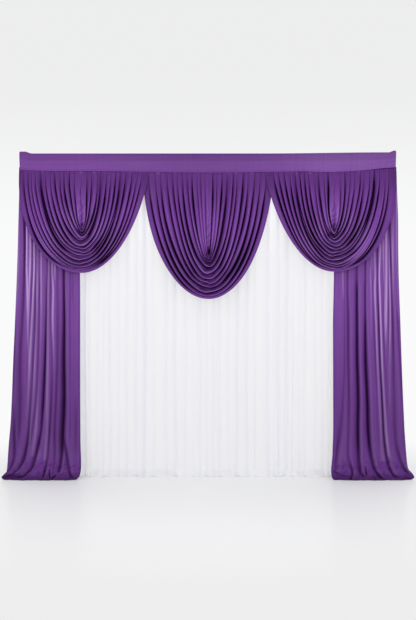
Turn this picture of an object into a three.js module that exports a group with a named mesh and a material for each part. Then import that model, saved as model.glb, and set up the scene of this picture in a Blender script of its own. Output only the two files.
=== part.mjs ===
// Swagged drapery backdrop: a heading band sewn into a pole sleeve, three swags under it,
// a gathered curtain at each side with its foot puddled on the floor, and a pale pleated
// curtain behind. Millimetres, +Z up. The front faces -Y, and the origin is on the axis of
// the pole sleeve at the middle of the width.

import * as THREE from 'three';
import { ParametricGeometry } from 'three/addons/geometries/ParametricGeometry.js';
import { mergeVertices } from 'three/addons/utils/BufferGeometryUtils.js';

const { lerp, smoothstep } = THREE.MathUtils;

// Overall sizes
const BAND_WIDTH = 3004;
const HALF_WIDTH = BAND_WIDTH / 2;
const POLE_TO_FLOOR = 2560;
const FLOOR = -POLE_TO_FLOOR;
const CLOTH = 2; // thickness of each hung sheet
const SEWN_GAP = 0.3; // left between pieces that meet at a seam

// Heading band, seen in section: a loop round the pole, and a tail where both layers are sewn
const SLEEVE_RADIUS = 28.5;
const BAND_WALL = 2.5;
const BAND_DROP = 116; // from the pole axis down to the seam, at mid width
const TAIL_HEIGHT = 20;
const TAIL_FRONT = -13.5;
const TAIL_BACK = TAIL_FRONT + 2 * BAND_WALL;
const POCKET_FLOOR_LIFT = 3; // from the top of the tail up to the bottom of the pocket
const SEAM_RISE = 26; // the seam climbs this much towards each end
const SEAM_CURVE = 4; // power of the climb: most of it is near the ends
const TOP_SAG = 6; // the top line dips this much at mid width
const CORNER_RISE = 11; // each top corner is tugged up
const CORNER_LENGTH = 60;
const BAND_STATIONS = 20;
const SLEEVE_SEGMENTS = 6;

// Swags
const SWAG_FRONT = -10.3; // the valleys of the gathers, at the seam
const SWAG_STEPS_PER_FOLD = 3;
const SWAG_STEPS_DOWN = 8;
const GATHER_LENGTH = 190; // the gathers open out to full folds over this length
const SEAM_GATHER = 0.1; // share of a fold's depth that is left at the seam
const STAND_OFF = 14; // how far the folds come forward as they open
const SWAG_LEAN = 62; // further forward at the bottom of the swag
const LEAN_CURVE = 1.5; // power of the lean: most of it is low down
const STACKED_SHARE = 0.72; // share of the depth left where the folds stack at the bottom
const RIDGE_POWER = 0.6; // below 1, ridges are round and valleys narrow
const PINCH_POWER = 0.7; // the same for the ridge down the middle
const HEM_STRIP = { start: 0.7, flat: 0.5, height: 0.9 }; // places from the hem, in folds
const LAP_AT_SEAM = 2.6; // an end in front of its neighbour stands this far off it
const LAP_BELOW = 10;
const LAP_OPENING = 60; // length over which the first becomes the second
const LAP_END = 420; // no lap is left this far down
const PRESSED_SHARE = 0.1; // share of the depth left in an end that is lapped over

// One row for each fold from the middle of a swag outwards: how far the valley beyond it
// reaches to the left and to the right at the seam, how low it hangs in the middle, and how
// far its ridge stands forward. The first row is the pinch in the middle, the last the hem.
const LEFT_SWAG_FOLDS = [
  { left: 0, right: 0, drop: 512, ridge: 25 },
  { left: 54, right: 55, drop: 530, ridge: 30 },
  { left: 94, right: 94, drop: 550, ridge: 28 },
  { left: 142, right: 154, drop: 574, ridge: 35 },
  { left: 190, right: 210, drop: 598, ridge: 34 },
  { left: 222, right: 262, drop: 622, ridge: 29 },
  { left: 262, right: 306, drop: 645, ridge: 36 },
  { left: 310, right: 354, drop: 674, ridge: 32 },
  { left: 342, right: 394, drop: 697, ridge: 30 },
  { left: 382, right: 442, drop: 720, ridge: 35 },
  { left: 414, right: 482, drop: 743, ridge: 28 },
  { left: 454, right: 522, drop: 768, ridge: 30 },
  { left: 484, right: 546, drop: 812, ridge: 22 },
];
const CENTER_SWAG_FOLDS = [
  { left: 0, right: 0, drop: 652, ridge: 25 },
  { left: 18, right: 36, drop: 684, ridge: 28 },
  { left: 62, right: 71, drop: 722, ridge: 30 },
  { left: 89, right: 115, drop: 762, ridge: 29 },
  { left: 133, right: 168, drop: 792, ridge: 35 },
  { left: 176, right: 203, drop: 820, ridge: 32 },
  { left: 211, right: 246, drop: 846, ridge: 30 },
  { left: 271, right: 289, drop: 872, ridge: 38 },
  { left: 348, right: 332, drop: 898, ridge: 36 },
  { left: 399, right: 392, drop: 924, ridge: 34 },
  { left: 449, right: 443, drop: 950, ridge: 35 },
  { left: 500, right: 494, drop: 976, ridge: 30 },
  { left: 560, right: 560, drop: 1020, ridge: 24 },
];
const RIGHT_SWAG_FOLDS = [
  { left: 0, right: 0, drop: 506, ridge: 25 },
  { left: 42, right: 64, drop: 524, ridge: 29 },
  { left: 80, right: 102, drop: 546, ridge: 30 },
  { left: 136, right: 147, drop: 574, ridge: 34 },
  { left: 190, right: 182, drop: 600, ridge: 35 },
  { left: 235, right: 224, drop: 624, ridge: 30 },
  { left: 288, right: 258, drop: 648, ridge: 35 },
  { left: 332, right: 308, drop: 672, ridge: 31 },
  { left: 382, right: 347, drop: 698, ridge: 32 },
  { left: 416, right: 386, drop: 722, ridge: 29 },
  { left: 468, right: 424, drop: 746, ridge: 34 },
  { left: 502, right: 468, drop: 770, ridge: 29 },
  { left: 546, right: 496, drop: 816, ridge: 22 },
];

// How each side of a swag falls: the roundness of the folds in the middle and at the hem
// (1 is a pointed parabola, 2 an ellipse), and whether its end laps over the next swag.
const OUTER_SIDE = { innerRound: 1.05, hemRound: 2.05, lap: 'free' };
const LAPPING_SIDE = { innerRound: 1.1, hemRound: 1.3, lap: 'over' };
const CENTER_SIDE = { innerRound: 1.15, hemRound: 1.28, lap: 'under' };
const LAP_OVER_SHARES = [0.6, 0.76]; // where the end starts to lift, counted from the middle
const LAP_UNDER_SHARES = [0.7, 0.86];

const SWAGS = [
  {
    name: 'swag_left',
    center: -1016,
    folds: LEFT_SWAG_FOLDS,
    left: OUTER_SIDE,
    right: LAPPING_SIDE,
  },
  {
    name: 'swag_center',
    center: 0,
    folds: CENTER_SWAG_FOLDS,
    left: CENTER_SIDE,
    right: CENTER_SIDE,
  },
  {
    name: 'swag_right',
    center: 1004,
    folds: RIGHT_SWAG_FOLDS,
    left: LAPPING_SIDE,
    right: OUTER_SIDE,
  },
];

// Side curtains, one row for each valley between folds from the left edge to the right one:
// where it starts under the band, where it ends at the foot, and the depth of the next fold.
const LEFT_CURTAIN_FOLDS = [
  { top: -1506, foot: -1618, depth: 20 },
  { top: -1478, foot: -1556, depth: 26 },
  { top: -1422, foot: -1486, depth: 22 },
  { top: -1382, foot: -1438, depth: 20 },
  { top: -1350, foot: -1396, depth: 28 },
  { top: -1294, foot: -1344, depth: 32 },
  { top: -1206, foot: -1260, depth: 24 },
  { top: -1158, foot: -1190, depth: 26 },
  { top: -1110, foot: -1150, depth: 20 },
  { top: -1078, foot: -1070, depth: 24 },
  { top: -1024, foot: -1016, depth: 20 },
];
const RIGHT_CURTAIN_FOLDS = [
  { top: 1010, foot: 994, depth: 24 },
  { top: 1062, foot: 1044, depth: 20 },
  { top: 1112, foot: 1138, depth: 26 },
  { top: 1186, foot: 1214, depth: 28 },
  { top: 1250, foot: 1310, depth: 30 },
  { top: 1322, foot: 1388, depth: 22 },
  { top: 1362, foot: 1440, depth: 26 },
  { top: 1418, foot: 1500, depth: 20 },
  { top: 1444, foot: 1536, depth: 22 },
  { top: 1476, foot: 1578, depth: 20 },
  { top: 1508, foot: 1618, depth: 20 },
];
const CURTAIN_STEPS_PER_FOLD = 3;
const CURTAIN_POWER = 0.8; // below 1, the folds are rounder than a plain wave
const CURTAIN_TUCK = 8; // the top edges behind the tail reach this far above the seam

const HALF_STATION = 0.5; // the run of the cloth is read this far up and down the fall

// How a side curtain falls, from its top edge to the end that is tucked under on the floor:
// height above the floor, place front to back, share of the way from top to foot positions,
// and share of each fold's depth. The first height is replaced by the seam's.
const CURTAIN_FALL = [
  { height: 2452, back: -5.7, spread: 0, fold: 0.05 },
  { height: 2380, back: 5, spread: 0.01, fold: 0.4 },
  { height: 2240, back: 16, spread: 0.03, fold: 1 },
  { height: 1850, back: 16, spread: 0.1, fold: 1 },
  { height: 1350, back: 12, spread: 0.22, fold: 1 },
  { height: 900, back: 3, spread: 0.36, fold: 1 },
  { height: 520, back: -12, spread: 0.54, fold: 1 },
  { height: 270, back: -34, spread: 0.67, fold: 1 },
  { height: 130, back: -66, spread: 0.77, fold: 0.9 },
  { height: 56, back: -104, spread: 0.87, fold: 0.6 },
  { height: 22, back: -134, spread: 0.97, fold: 0.4 },
  { height: 4, back: -128, spread: 1, fold: 0 },
  { height: 2, back: -60, spread: 0.98, fold: 0 },
];

// Back curtain: the widths of the pleats that show between the side curtains, left to right
const SHOWN_PLEATS = [
  80, 96, 56, 80, 80, 64, 80, 96, 72, 80, 56, 64,
  112, 120, 64, 80, 104, 56, 88, 72, 96, 40, 88, 64,
];
const SHOWN_START = -966;
const HIDDEN_PLEATS = 7; // even ones, behind each side curtain
const BACK_HALF_WIDTH = 1490;
const PLEAT_STEPS = 3;
const PASSES_BEHIND = [930, 1000]; // steps back here, to pass behind a side curtain
const PASS_STEP = 3.8;

// How the back curtain falls: share of its height, place front to back, and pleat depth
const BACK_FALL = [
  { share: 0, back: -5.7, pleat: 1.5 },
  { share: 0.06, back: 34, pleat: 12 },
  { share: 0.2, back: 58, pleat: 20 },
  { share: 0.65, back: 60, pleat: 22 },
  { share: 1, back: 62, pleat: 28 },
];

const PURPLE = { color: 0x71468f, roughness: 0.55, metalness: 0 };
const WHITE = { color: 0xedeef2, roughness: 0.75, metalness: 0 };

// Height of the seam under the band: level in the middle, rising towards both ends.
function seamHeight(x) {
  return -BAND_DROP + SEAM_RISE * (Math.abs(x) / HALF_WIDTH) ** SEAM_CURVE;
}

// Shift of the band's top line: a shallow sag, with both corners tugged up.
function topShift(x) {
  const share = Math.abs(x) / HALF_WIDTH;
  const corner = smoothstep(Math.abs(x), HALF_WIDTH - CORNER_LENGTH, HALF_WIDTH);
  return CORNER_RISE * corner - TOP_SAG * (1 - share ** 2);
}

// Every column of a table at a place between two of its rows.
function between(rows, place) {
  const low = Math.min(Math.floor(place), rows.length - 2);
  const mixed = {};
  for (const column of Object.keys(rows[low])) {
    mixed[column] = lerp(rows[low][column], rows[low + 1][column], place - low);
  }
  return mixed;
}

// A closed sheet of cloth around a surface: both faces, and a rim along the free edges.
// The first row of points hangs plumb from the seam, so its thickness is measured level.
function clothSheet(surface, stepsAcross, stepsDown) {
  const grid = new ParametricGeometry(surface, stepsAcross, stepsDown);
  grid.deleteAttribute('normal');
  grid.deleteAttribute('uv');
  const seamMarks = new Float32Array(grid.getAttribute('position').count);
  seamMarks.fill(1, 0, stepsAcross + 1);
  grid.setAttribute('onSeam', new THREE.BufferAttribute(seamMarks, 1));
  const middle = mergeVertices(grid);
  middle.computeVertexNormals();
  const places = middle.getAttribute('position');
  const normals = middle.getAttribute('normal');
  const onSeam = middle.getAttribute('onSeam');
  const count = places.count;

  const points = [];
  for (const face of [1, -1]) {
    for (let i = 0; i < count; i++) {
      const point = new THREE.Vector3().fromBufferAttribute(places, i);
      const outward = new THREE.Vector3().fromBufferAttribute(normals, i);
      if (onSeam.getX(i)) {
        outward.setZ(0).normalize();
      }
      point.addScaledVector(outward, face * CLOTH / 2);
      points.push(...point.toArray());
    }
  }

  const triangles = [];
  const freeEdges = new Map();
  const corners = middle.index.array;
  for (let i = 0; i < corners.length; i += 3) {
    const [a, b, c] = corners.slice(i, i + 3);
    triangles.push(a, b, c, a + count, c + count, b + count);
    for (const [from, to] of [[a, b], [b, c], [c, a]]) {
      if (!freeEdges.delete(`${to} ${from}`)) {
        freeEdges.set(`${from} ${to}`, [from, to]);
      }
    }
  }
  for (const [from, to] of freeEdges.values()) {
    triangles.push(to, from, from + count, to, from + count, to + count);
  }

  const sheet = new THREE.BufferGeometry();
  sheet.setAttribute('position', new THREE.Float32BufferAttribute(points, 3));
  sheet.setIndex(triangles);
  sheet.computeVertexNormals();
  return sheet;
}

// Where a line from a point below touches a circle round the origin, as an angle.
function tangentAngle(point, radius, turn) {
  return Math.atan2(point.y, point.x) + turn * Math.acos(radius / point.length());
}

// The band's section, front to the left: a loop over the pole, drawn in to a sewn tail.
function bandSection() {
  const tailTop = -BAND_DROP + TAIL_HEIGHT;
  const front = new THREE.Vector2(TAIL_FRONT, tailTop);
  const back = new THREE.Vector2(TAIL_BACK, tailTop);
  const section = new THREE.Shape();
  section.moveTo(TAIL_FRONT, -BAND_DROP);
  section.lineTo(front.x, front.y);
  section.absarc(
    0, 0, SLEEVE_RADIUS,
    tangentAngle(front, SLEEVE_RADIUS, -1), tangentAngle(back, SLEEVE_RADIUS, 1), true,
  );
  section.lineTo(back.x, back.y);
  section.lineTo(TAIL_BACK, -BAND_DROP);
  section.closePath();

  const inner = SLEEVE_RADIUS - BAND_WALL;
  const floor = new THREE.Vector2((TAIL_FRONT + TAIL_BACK) / 2, tailTop + POCKET_FLOOR_LIFT);
  const pocket = new THREE.Path();
  pocket.absarc(0, 0, inner, tangentAngle(floor, inner, 1), tangentAngle(floor, inner, -1), false);
  pocket.lineTo(floor.x, floor.y);
  pocket.closePath();
  section.holes.push(pocket);
  return section;
}

// The band: its section carried along X, with stations crowded towards the ends, the sleeve
// following the top line and the tail following the seam.
function headingBand() {
  const band = new THREE.ExtrudeGeometry(bandSection(), {
    depth: 2,
    steps: BAND_STATIONS,
    curveSegments: SLEEVE_SEGMENTS,
    bevelEnabled: false,
  });
  const yAxis = new THREE.Vector3(0, 1, 0);
  const zAxis = new THREE.Vector3(0, 0, 1);
  const xAxis = new THREE.Vector3(1, 0, 0);
  band.applyMatrix4(new THREE.Matrix4().makeBasis(yAxis, zAxis, xAxis));
  const places = band.getAttribute('position');
  for (let i = 0; i < places.count; i++) {
    const along = places.getX(i) - 1;
    const x = HALF_WIDTH * Math.sin(along * Math.PI / 2);
    const height = places.getZ(i);
    const upper = smoothstep(height, -BAND_DROP + TAIL_HEIGHT, -SLEEVE_RADIUS);
    const seamShift = seamHeight(x) + BAND_DROP;
    places.setX(i, x);
    places.setZ(i, height + lerp(seamShift, topShift(x), upper));
  }
  return band;
}

// Height of the cloth across the folds of a swag, 0 in a valley and 1 on a ridge: half a ridge
// from the middle, then round ridges parted by narrow valleys, and a flat strip at the hem.
function swagRidge(place, folds) {
  if (place < 1) {
    return Math.cos(place * Math.PI / 2) ** PINCH_POWER;
  }
  const wave = Math.abs(Math.sin(place * Math.PI)) ** RIDGE_POWER;
  const hem = smoothstep(place, folds - HEM_STRIP.start, folds - HEM_STRIP.flat);
  return Math.max(wave, HEM_STRIP.height * hem);
}

// A swag as a surface: across runs from one hem over the middle to the other, and each fold
// falls from the seam to the middle as reach * cos, drop * sin ^ (2 / roundness).
function swagSurface(swag) {
  const folds = swag.folds.length - 1;
  const deepest = swag.folds[folds].drop;
  return (u, v, target) => {
    const across = 2 * u - 1;
    const side = across < 0 ? 'left' : 'right';
    const { innerRound, hemRound, lap } = swag[side];
    const share = Math.abs(across);
    const fold = between(swag.folds, share * folds);
    const turn = v * Math.PI / 2;
    const fall = Math.sin(turn) ** (2 / lerp(innerRound, hemRound, share ** 2));
    const reach = Math.sign(across) * fold[side];
    const top = seamHeight(swag.center + reach) - SEWN_GAP;
    const bottom = seamHeight(swag.center) - fold.drop;
    const below = fall * fold.drop;

    const opened = smoothstep(below, 0, GATHER_LENGTH);
    const stacked = lerp(1, STACKED_SHARE, v ** 2);
    let depth = fold.ridge * lerp(SEAM_GATHER, 1, opened) * stacked;
    let forward = STAND_OFF * opened + SWAG_LEAN * (below / deepest) ** LEAN_CURVE;
    const lapped = 1 - smoothstep(below, LAP_END / 2, LAP_END);
    if (lap === 'over') {
      const lift = lerp(LAP_AT_SEAM, LAP_BELOW, smoothstep(below, 0, LAP_OPENING));
      forward += lift * lapped * smoothstep(share, ...LAP_OVER_SHARES);
    }
    if (lap === 'under') {
      depth *= lerp(1, PRESSED_SHARE, lapped * smoothstep(share, ...LAP_UNDER_SHARES));
    }
    target.set(
      swag.center + reach * Math.cos(turn),
      SWAG_FRONT - forward - depth * swagRidge(share * folds, folds),
      top * (1 - fall) + bottom * fall,
    );
  };
}

// A side curtain as a surface: across counts the folds, down follows the fall. Folds stand
// out square to the fall, so they lie on the floor where the cloth does.
function curtainSurface(folds) {
  const lastFold = folds.length - 1;
  const lastStation = CURTAIN_FALL.length - 1;
  return (u, v, target) => {
    const fold = between(folds, u * lastFold);
    const depth = folds[Math.min(Math.floor(u * lastFold), lastFold)].depth;
    const station = v * lastStation;
    const here = between(CURTAIN_FALL, station);
    const before = between(CURTAIN_FALL, Math.max(station - HALF_STATION, 0));
    const after = between(CURTAIN_FALL, Math.min(station + HALF_STATION, lastStation));
    const run = new THREE.Vector2(after.back - before.back, after.height - before.height);
    run.normalize();
    const stand = depth * here.fold * Math.abs(Math.sin(u * lastFold * Math.PI)) ** CURTAIN_POWER;
    const height = v === 0 ? seamHeight(fold.top) + CURTAIN_TUCK - FLOOR : here.height;
    target.set(
      lerp(fold.top, fold.foot, here.spread),
      here.back + stand * run.y,
      FLOOR + height - stand * run.x,
    );
  };
}

// The valleys of the back curtain from edge to edge: the pleats that show, and even ones
// behind the side curtains.
function backValleys() {
  const valleys = [];
  for (let i = 0; i < HIDDEN_PLEATS; i++) {
    valleys.push({ x: lerp(-BACK_HALF_WIDTH, SHOWN_START, i / HIDDEN_PLEATS) });
  }
  let x = SHOWN_START;
  for (const width of SHOWN_PLEATS) {
    valleys.push({ x });
    x += width;
  }
  for (let i = 0; i <= HIDDEN_PLEATS; i++) {
    valleys.push({ x: lerp(x, BACK_HALF_WIDTH, i / HIDDEN_PLEATS) });
  }
  return valleys;
}

// The back curtain as a surface: soft pleats that deepen as it falls to the floor.
function backSurface(valleys) {
  const lastPleat = valleys.length - 1;
  return (u, v, target) => {
    const { x } = between(valleys, u * lastPleat);
    const here = between(BACK_FALL, v * (BACK_FALL.length - 1));
    const wave = Math.sin(u * lastPleat * Math.PI) ** 2;
    const step = PASS_STEP * smoothstep(Math.abs(x), ...PASSES_BEHIND);
    const top = seamHeight(x) + CURTAIN_TUCK;
    target.set(x, here.back + step - here.pleat * wave, lerp(top, FLOOR, here.share));
  };
}

const backdrop = new THREE.Group();

function addPiece(name, geometry, finish) {
  const piece = new THREE.Mesh(geometry, new THREE.MeshStandardMaterial(finish));
  piece.name = name;
  backdrop.add(piece);
}

addPiece('heading_band', headingBand(), PURPLE);

for (const swag of SWAGS) {
  const stepsAcross = 2 * SWAG_STEPS_PER_FOLD * (swag.folds.length - 1);
  addPiece(swag.name, clothSheet(swagSurface(swag), stepsAcross, SWAG_STEPS_DOWN), PURPLE);
}

const SIDE_CURTAINS = {
  side_curtain_left: LEFT_CURTAIN_FOLDS,
  side_curtain_right: RIGHT_CURTAIN_FOLDS,
};
for (const [name, folds] of Object.entries(SIDE_CURTAINS)) {
  const stepsAcross = CURTAIN_STEPS_PER_FOLD * (folds.length - 1);
  addPiece(name, clothSheet(curtainSurface(folds), stepsAcross, CURTAIN_FALL.length - 1), PURPLE);
}

const valleys = backValleys();
const pleatSteps = PLEAT_STEPS * (valleys.length - 1);
addPiece('back_curtain', clothSheet(backSurface(valleys), pleatSteps, BACK_FALL.length - 1), WHITE);

export default backdrop;
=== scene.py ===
import math
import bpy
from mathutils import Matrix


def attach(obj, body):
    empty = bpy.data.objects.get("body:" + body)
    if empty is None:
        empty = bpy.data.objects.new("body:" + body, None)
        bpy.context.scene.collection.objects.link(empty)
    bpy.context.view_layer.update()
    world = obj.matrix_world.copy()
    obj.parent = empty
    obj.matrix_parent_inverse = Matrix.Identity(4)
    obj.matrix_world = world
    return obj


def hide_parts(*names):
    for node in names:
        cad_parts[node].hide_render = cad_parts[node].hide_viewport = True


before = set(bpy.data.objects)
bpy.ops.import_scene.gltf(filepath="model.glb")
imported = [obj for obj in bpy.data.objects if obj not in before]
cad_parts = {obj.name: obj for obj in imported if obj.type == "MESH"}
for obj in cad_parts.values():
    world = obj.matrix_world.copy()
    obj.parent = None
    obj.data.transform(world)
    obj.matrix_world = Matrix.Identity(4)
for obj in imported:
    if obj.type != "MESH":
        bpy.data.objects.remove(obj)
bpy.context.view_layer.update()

from types import SimpleNamespace

import bpy
import numpy as np
from mathutils import Vector

print("frame loaded:", ", ".join(sorted(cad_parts)))

toMetres = 0.001  # every size below is in millimetres
floorLevel = -2560
fullTurn = 6.283
startEnd = 6.3  # waves start at a chance angle from 0 up to this


# value held between 0 and 1
def clamp(value):
    return np.clip(value, 0, 1)


# S curve: 0 up to low, 1 from high on, 3t^2 - 2t^3 between them
def ramp(value, low, high):
    t = clamp((value - low) / (high - low))
    return t * t * (3 - 2 * t)


# the same S curve the other way, from 1 down to 0
def fade(value, low, high):
    return 1 - ramp(value, low, high)


# smooth hump: exp(-(distance / width)^2)
def hump(distance, width):
    return np.exp(-(distance / width) ** 2)


# straight mix: start + (end - start) * share
def mix(start, end, share):
    return start + (end - start) * share


# shades laid over each other: 1 less the product of every 1 - shade
def layered(*shades):
    left = 1
    for shade in shades:
        left = left * (1 - shade)
    return 1 - left


# arrays stretched to one grid and stacked along a new last axis
def together(*columns):
    return np.stack(np.broadcast_arrays(*columns), -1)


# steps from 0 to 1 drawn towards both ends: t - amount * sin(2 pi t) / (2 pi)
def bunch(t, amount):
    return t - amount * np.sin(2 * np.pi * t) / (2 * np.pi)


# a table of rows as one array for each named column
def readTable(names, rows):
    return dict(zip(names.split(), np.array(rows, float).T))


# straight lines from row to row of a column
def linesThrough(column, place):
    return np.interp(place, np.arange(len(column)), column)


# soft curve through the rows of a column: a cubic on each span, and the slope at
# a row is half the step from the row before it to the row after it
def curveThrough(column, place):
    last = len(column) - 1
    row = np.clip(np.floor(place).astype(int), 0, last - 1)
    t = place - row
    here, there = column[row], column[row + 1]
    slopeHere = (there - column[np.maximum(row - 1, 0)]) / 2
    slopeThere = (column[np.minimum(row + 2, last)] - here) / 2
    rise = t * t * (3 - 2 * t)
    return mix(here, there, rise) + t * (1 - t) * ((1 - t) * slopeHere - t * slopeThere)


# slow unevenness: a sine wave down each line, with a length and a start of its own
def waver(chance, lines, down):
    length = chance.uniform(0.5, 1.5, lines)
    start = chance.uniform(0, 1, lines)
    return np.sin(2 * np.pi * (down.reshape((-1,) + (1,) * np.ndim(length)) * length + start))


# unsteady way along x: x plus the sum of size * sin(x / length + start)
def wanderAlong(x, waves):
    way = x
    for size, length, start in waves:
        way = way + size * np.sin(x / length + start)
    return way


# crumple: the sum of plane waves of about one pitch that run in chance directions
def crumple(chance, across, up, pitch, waves=6):
    turns = chance.uniform(0, np.pi, waves)
    starts = chance.uniform(0, startEnd, waves)
    sizes = chance.uniform(0.7, 1.5, waves)
    total = 0
    for turn, start, size in zip(turns, starts, sizes):
        along = across * np.cos(turn) + up * np.sin(turn)
        total = total + np.sin(along * fullTurn / (pitch * size) + start)
    return total / math.sqrt(waves)


# lengths along the cloth in metres: the mean steps between neighbours, added up each way
def clothLengths(points):
    stepAcross = np.linalg.norm(np.diff(points, axis=1), axis=2).mean(0)
    stepDown = np.linalg.norm(np.diff(points, axis=0), axis=2).mean(1)
    across = np.concatenate([[0], stepAcross.cumsum()])[None, :]
    down = np.concatenate([[0], stepDown.cumsum()])[:, None]
    return together(across, down) * toMetres


# a grid of points, rows down and columns across, becomes a sheet of quads with its face to the
# front; where it is joined, the right half of the last row is sewn to the left half
def makeSheet(name, points, marks, material, thickness, offset=0, joined=False):
    rows, columns = points.shape[:2]
    grid = np.arange(rows * columns).reshape(rows, columns)
    sewn = grid.copy()
    if joined:
        half = columns // 2
        sewn[-1, half + 1:] = grid[-1, half - 1::-1]
    laid, quads = [np.stack([g[:-1, :-1], g[1:, :-1], g[1:, 1:], g[:-1, 1:]], -1).reshape(-1, 4)
                   for g in (grid, sewn)]
    used, quads = np.unique(quads, return_inverse=True)
    corners = points.reshape(-1, 3)[used] * toMetres
    mesh = bpy.data.meshes.new(name)
    mesh.from_pydata(corners.tolist(), [], quads.reshape(-1, 4).tolist())
    lengths = clothLengths(points).reshape(-1, 2)
    mesh.uv_layers.new(name="clothLengths").data.foreach_set("uv", lengths[laid.ravel()].ravel())
    for mark, values in marks.items():
        spread = np.broadcast_to(values, (rows, columns)).ravel()[used]
        mesh.attributes.new(mark, "FLOAT", "POINT").data.foreach_set("value", spread)
    mesh.shade_smooth()
    mesh.materials.append(material)
    piece = bpy.data.objects.new(name, mesh)
    bpy.context.collection.objects.link(piece)
    wall = piece.modifiers.new("clothThickness", "SOLIDIFY")
    wall.thickness = thickness * toMetres
    wall.offset = offset
    print(name, "made:", len(used), "points")
    return piece


# a socket that takes part in Python arithmetic, each operation as one Math node
class Wire:
    def __init__(self, tree, socket=None):
        self.tree = tree
        self.socket = socket

    # any node: its type, its settings, and the values or wires of its sockets
    def node(self, kind, settings={}, sockets={}, output=0):
        made = self.tree.nodes.new(kind)
        for name, value in settings.items():
            setattr(made, name, value)
        for name, value in sockets.items():
            if isinstance(value, Wire):
                self.tree.links.new(value.socket, made.inputs[name])
            else:
                made.inputs[name].default_value = value
        return Wire(self.tree, made.outputs[output] if len(made.outputs) else None)

    # another output of the same node
    def also(self, output):
        return Wire(self.tree, self.socket.node.outputs[output])

    def math(self, operation, *values):
        return self.node("ShaderNodeMath", {"operation": operation}, dict(enumerate(values)))

    def __add__(self, other):
        return self.math("ADD", self, other)

    def __mul__(self, other):
        return self.math("MULTIPLY", self, other)

    def __sub__(self, other):
        return self.math("SUBTRACT", self, other)

    def __rsub__(self, other):
        return self.math("SUBTRACT", other, self)

    __radd__ = __add__
    __rmul__ = __mul__

    def sine(self):
        return self.math("SINE", self)

    # S curve of this value from low to high
    def step(self, low, high):
        return self.node("ShaderNodeMapRange", {"interpolation_type": "SMOOTHSTEP"},
                         {"Value": self, "From Min": low, "From Max": high})

    # colour mix by this value
    def blend(self, first, second):
        return self.node("ShaderNodeMix", {"data_type": "RGBA"}, {0: self, 6: first, 7: second}, 2)


# the emptied node tree of a material or of the world
def emptyTree(owner):
    owner.use_nodes = True
    owner.node_tree.nodes.clear()
    return Wire(owner.node_tree)


noiseMiddle = 0.5
knit = dict(
    stitchWide=0.0016, stitchHigh=0.0012, courseShift=0.9, reliefHeight=0.0004,
    stitchRelief=0.35, courseRelief=0.5, runRelief=2.0, thinBase=0.35, thinRuns=1.2,
    unevenRoughness=0.2, shadowRoughness=0.9)
# each look holds a matt dark colour that is mixed in as painted shade, and a pale colour for painted light
purpleLook = dict(
    knit, dark=(0.097, 0.022, 0.176, 1), light=(0.140, 0.034, 0.248, 1),
    deep=(0.006, 0.0015, 0.011, 1), deepShare=0.97, thin=(0.420, 0.270, 0.540, 1), lightThrough=0,
    patchScale=7.0, patchShare=0.5, runScale=(120, 1.5, 1), runShare=0.9, bump=0.25,
    roughness=0.42, sheen=0.04, sheenRoughness=0.4, sheenTint=(0.75, 0.50, 0.95, 1), gloss=0.18)
swagLook = dict(
    purpleLook, dark=(0.111, 0.0257, 0.202, 1), light=(0.160, 0.0393, 0.285, 1),
    deep=(0.004, 0.001, 0.008, 1), deepShare=1.0, runShare=0.5)
bandLook = dict(
    purpleLook, dark=(0.100, 0.025, 0.178, 1), light=(0.134, 0.034, 0.230, 1), runShare=0.5)
whiteLook = dict(
    knit, dark=(0.895, 0.895, 0.912, 1), light=(0.930, 0.930, 0.938, 1),
    deep=(0.620, 0.610, 0.700, 1), deepShare=0.28, thin=(0.900, 0.900, 0.920, 1), lightThrough=0.88,
    patchScale=5.0, patchShare=0.4, runScale=(200, 2, 1), runShare=0.5, bump=0.2,
    roughness=0.65, sheen=0.1, sheenRoughness=0.5, sheenTint=(1, 1, 1, 1), gloss=0.25)
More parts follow.
